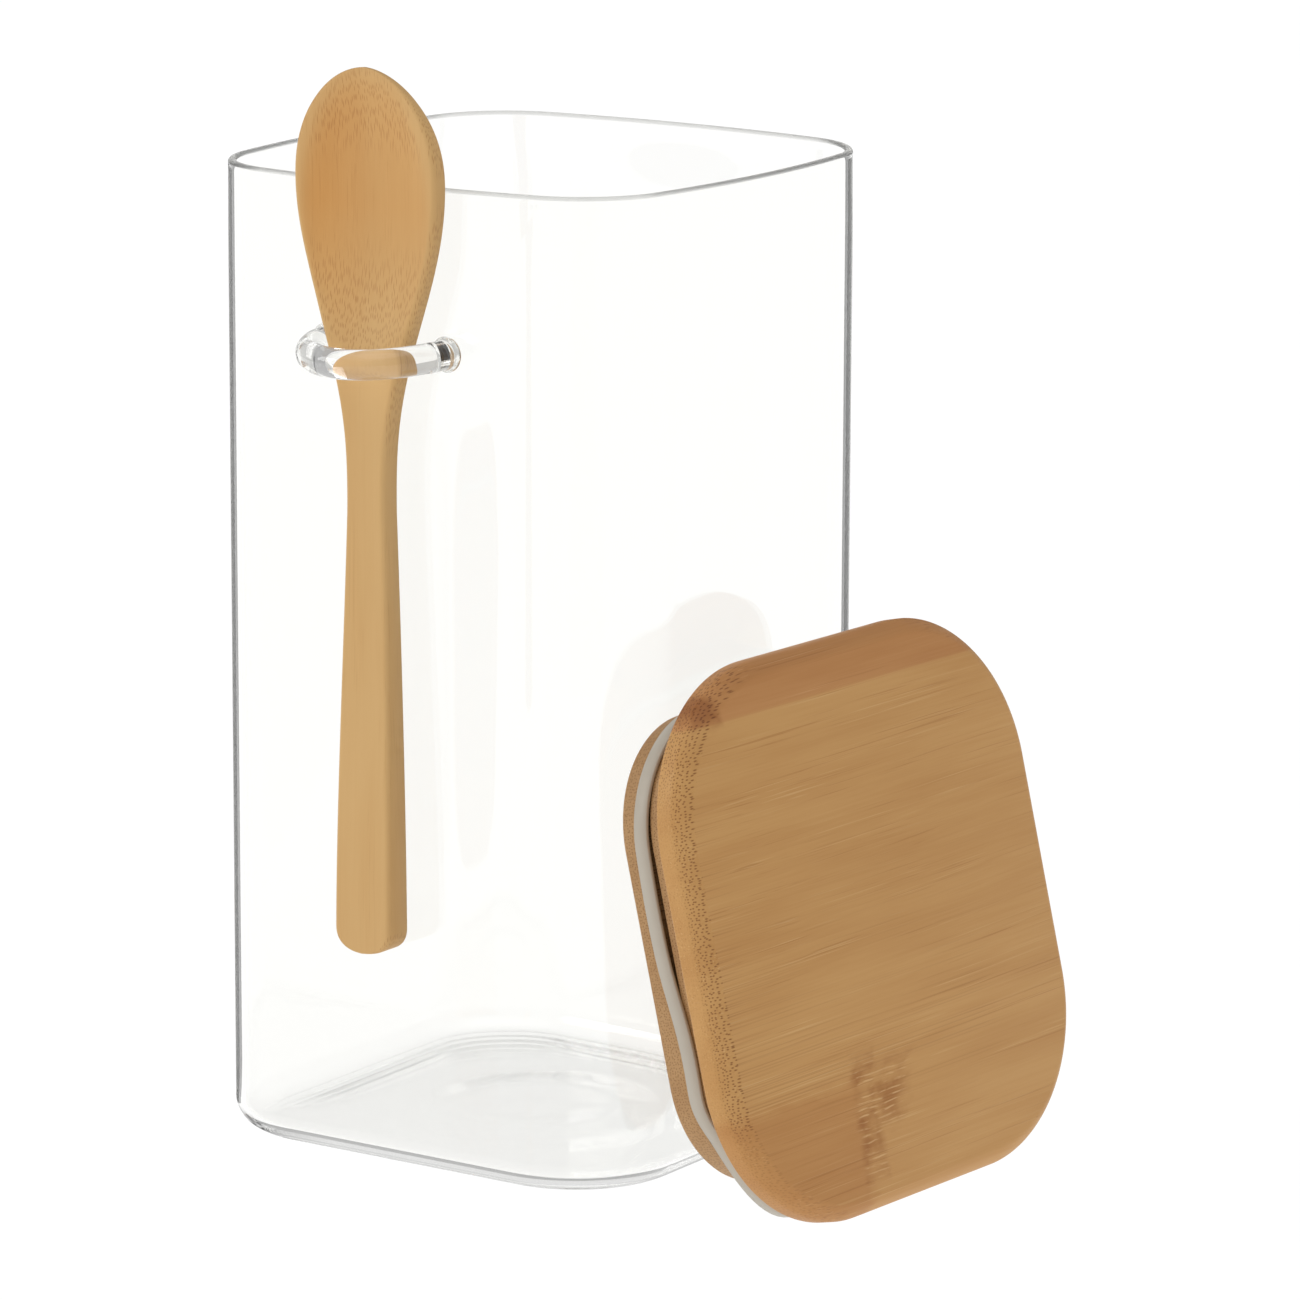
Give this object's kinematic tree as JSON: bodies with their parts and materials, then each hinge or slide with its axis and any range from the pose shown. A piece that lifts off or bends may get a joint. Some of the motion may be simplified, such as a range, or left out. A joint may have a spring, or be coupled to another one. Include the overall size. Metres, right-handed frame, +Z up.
{
  "type": "storage jar",
  "caption": "Square clear glass storage jar with a glass ring on its front wall that holds a bamboo spoon, and a bamboo lid with a silicone seal leaning on its side.",
  "frame": {"origin": "middle of the jar's flat base, on the surface it stands on", "axes": "+Z up, -Y out of the front wall that carries the spoon ring, +X towards the side that the lid leans on"},
  "size_m": [0.1503, 0.1206, 0.2141],
  "materials": {
    "clear_glass": "clear, fire-polished",
    "ring_glass": "clear, fire-polished rod",
    "spoon_bamboo": "sanded bamboo, satin",
    "cap_bamboo": "sanded and oiled bamboo board",
    "plug_bamboo": "sanded bamboo board",
    "silicone": "translucent silicone, satin"
  },
  "bodies": {
    "jar": {"glass_jar": "clear_glass", "spoon_ring": "ring_glass"},
    "spoon": {"spoon": "spoon_bamboo"},
    "lid": {"lid_cap": "cap_bamboo", "lid_plug": "plug_bamboo", "lid_seal": "silicone"}
  },
  "joints": [
    {"name": "spoon_lift", "type": "slide", "parent": "jar", "child": "spoon", "axis": [0, 0, 1], "range_m": [0, 0.125]},
    {"name": "lid_lift", "type": "slide", "parent": "jar", "child": "lid", "axis": [0.9686, -0.0899, 0.2317], "range_m": [0, 0.15]}
  ]
}
